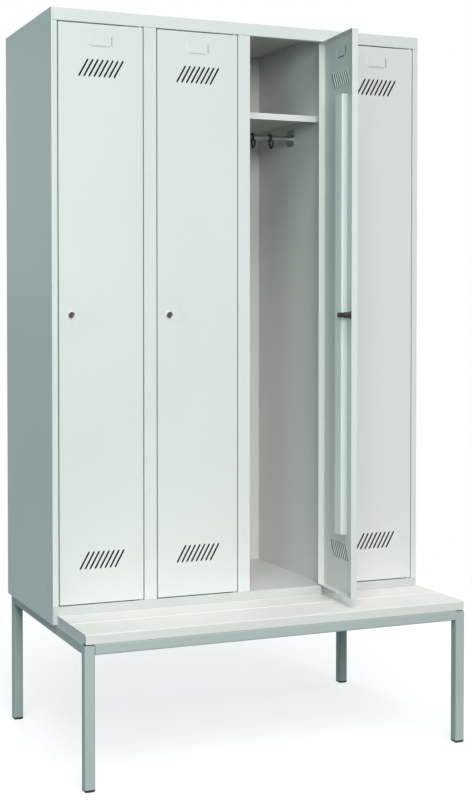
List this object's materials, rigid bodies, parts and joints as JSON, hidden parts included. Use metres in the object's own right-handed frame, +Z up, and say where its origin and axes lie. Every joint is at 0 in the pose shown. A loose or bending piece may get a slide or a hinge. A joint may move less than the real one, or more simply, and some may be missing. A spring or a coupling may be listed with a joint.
{
  "type": "locker with bench",
  "caption": "Steel clothes locker with hinged doors, hat shelves and clothes rails, on a tube stand that reaches forward as a sitting bench.",
  "frame": {"origin": "on the floor, under the middle of the whole object's outline", "axes": "+Z up, -Y out of the doors and over the bench, +X to the right when facing the doors"},
  "size_m": [1.211, 0.79, 2.1753],
  "materials": {
    "cabinet_paint": "pale grey-green powder coat, satin",
    "stand_paint": "grey-green powder coat, satin",
    "bench_paint": "pale warm grey powder coat, satin",
    "black_plastic": "black moulded plastic",
    "bright_chrome": "polished plate",
    "zinc_steel": "zinc plated"
  },
  "bodies": {
    "cabinet": {"back_panel": "cabinet_paint", "bench_rib": "stand_paint", "bench_top": "bench_paint", "clothes_rail_1": "zinc_steel", "clothes_rail_2": "zinc_steel", "clothes_rail_3": "zinc_steel", "clothes_rail_4": "zinc_steel", "floor_panel": "cabinet_paint", "foot_back_left": "black_plastic", "foot_back_right": "black_plastic", "foot_front_left": "black_plastic", "foot_front_right": "black_plastic", "hat_shelf_1": "cabinet_paint", "hat_shelf_2": "cabinet_paint", "hat_shelf_3": "cabinet_paint", "hat_shelf_4": "cabinet_paint", "leg_back_left": "stand_paint", "leg_back_right": "stand_paint", "leg_front_left": "stand_paint", "leg_front_right": "stand_paint", "partition_1": "cabinet_paint", "partition_2": "cabinet_paint", "partition_3": "cabinet_paint", "roof_panel": "cabinet_paint", "side_panel_left": "cabinet_paint", "side_panel_right": "cabinet_paint", "stand_rail_back": "stand_paint", "stand_rail_front": "stand_paint", "stand_rail_left": "stand_paint", "stand_rail_middle": "stand_paint", "stand_rail_right": "stand_paint"},
    "door_leaf_1": {"door_1": "cabinet_paint", "door_stiffener_1": "cabinet_paint", "lock_body_1": "bright_chrome"},
    "lock_core_1": {"lock_plug_1": "zinc_steel"},
    "hook_1a": {"sliding_hook_1a": "black_plastic"},
    "hook_1b": {"sliding_hook_1b": "black_plastic"},
    "door_leaf_2": {"door_2": "cabinet_paint", "door_stiffener_2": "cabinet_paint", "lock_body_2": "bright_chrome"},
    "lock_core_2": {"lock_plug_2": "zinc_steel"},
    "hook_2a": {"sliding_hook_2a": "black_plastic"},
    "hook_2b": {"sliding_hook_2b": "black_plastic"},
    "door_leaf_3": {"door_3": "cabinet_paint", "door_stiffener_3": "cabinet_paint", "lock_body_3": "bright_chrome"},
    "lock_core_3": {"lock_plug_3": "zinc_steel"},
    "hook_3a": {"sliding_hook_3a": "black_plastic"},
    "hook_3b": {"sliding_hook_3b": "black_plastic"},
    "door_leaf_4": {"door_4": "cabinet_paint", "door_stiffener_4": "cabinet_paint", "lock_body_4": "bright_chrome"},
    "lock_core_4": {"lock_plug_4": "zinc_steel"},
    "hook_4a": {"sliding_hook_4a": "black_plastic"},
    "hook_4b": {"sliding_hook_4b": "black_plastic"}
  },
  "joints": [
    {"name": "door_1_hinge", "type": "hinge", "parent": "cabinet", "child": "door_leaf_1", "pos_m": [-0.33575, -0.119, 0.4603], "axis": [0, 0, 1], "range_deg": [0, 110]},
    {"name": "lock_1_turn", "type": "hinge", "parent": "door_leaf_1", "child": "lock_core_1", "pos_m": [-0.5475, -0.125, 1.2978], "axis": [0, 1, 0], "range_deg": [0, 180]},
    {"name": "hook_1a_slide", "type": "slide", "parent": "cabinet", "child": "hook_1a", "axis": [1, 0, 0], "range_m": [-0.1418, 0.0238]},
    {"name": "hook_1b_slide", "type": "slide", "parent": "cabinet", "child": "hook_1b", "axis": [1, 0, 0], "range_m": [-0.0238, 0.0638]},
    {"name": "door_2_hinge", "type": "hinge", "parent": "cabinet", "child": "door_leaf_2", "pos_m": [-0.035, -0.119, 0.4603], "axis": [0, 0, 1], "range_deg": [0, 110]},
    {"name": "lock_2_turn", "type": "hinge", "parent": "door_leaf_2", "child": "lock_core_2", "pos_m": [-0.24675, -0.125, 1.2978], "axis": [0, 1, 0], "range_deg": [0, 180]},
    {"name": "hook_2a_slide", "type": "slide", "parent": "cabinet", "child": "hook_2a", "axis": [1, 0, 0], "range_m": [-0.1531, 0.026]},
    {"name": "hook_2b_slide", "type": "slide", "parent": "cabinet", "child": "hook_2b", "axis": [1, 0, 0], "range_m": [-0.026, 0.0691]},
    {"name": "door_3_hinge", "type": "hinge", "parent": "cabinet", "child": "door_leaf_3", "pos_m": [0.26575, -0.119, 0.4603], "axis": [0, 0, 1], "range_deg": [-85.5, 24.5]},
    {"name": "lock_3_turn", "type": "hinge", "parent": "door_leaf_3", "child": "lock_core_3", "pos_m": [0.25512, -0.33057, 1.2978], "axis": [-0.9969, 0.0785, 0], "range_deg": [0, 180]},
    {"name": "hook_3a_slide", "type": "slide", "parent": "cabinet", "child": "hook_3a", "axis": [1, 0, 0], "range_m": [-0.1531, 0.026]},
    {"name": "hook_3b_slide", "type": "slide", "parent": "cabinet", "child": "hook_3b", "axis": [1, 0, 0], "range_m": [-0.026, 0.0691]},
    {"name": "door_4_hinge", "type": "hinge", "parent": "cabinet", "child": "door_leaf_4", "pos_m": [0.5665, -0.119, 0.4603], "axis": [0, 0, 1], "range_deg": [0, 110]},
    {"name": "lock_4_turn", "type": "hinge", "parent": "door_leaf_4", "child": "lock_core_4", "pos_m": [0.35475, -0.125, 1.2978], "axis": [0, 1, 0], "range_deg": [0, 180]},
    {"name": "hook_4a_slide", "type": "slide", "parent": "cabinet", "child": "hook_4a", "axis": [1, 0, 0], "range_m": [-0.1622, 0.0278]},
    {"name": "hook_4b_slide", "type": "slide", "parent": "cabinet", "child": "hook_4b", "axis": [1, 0, 0], "range_m": [-0.0278, 0.0735]}
  ]
}
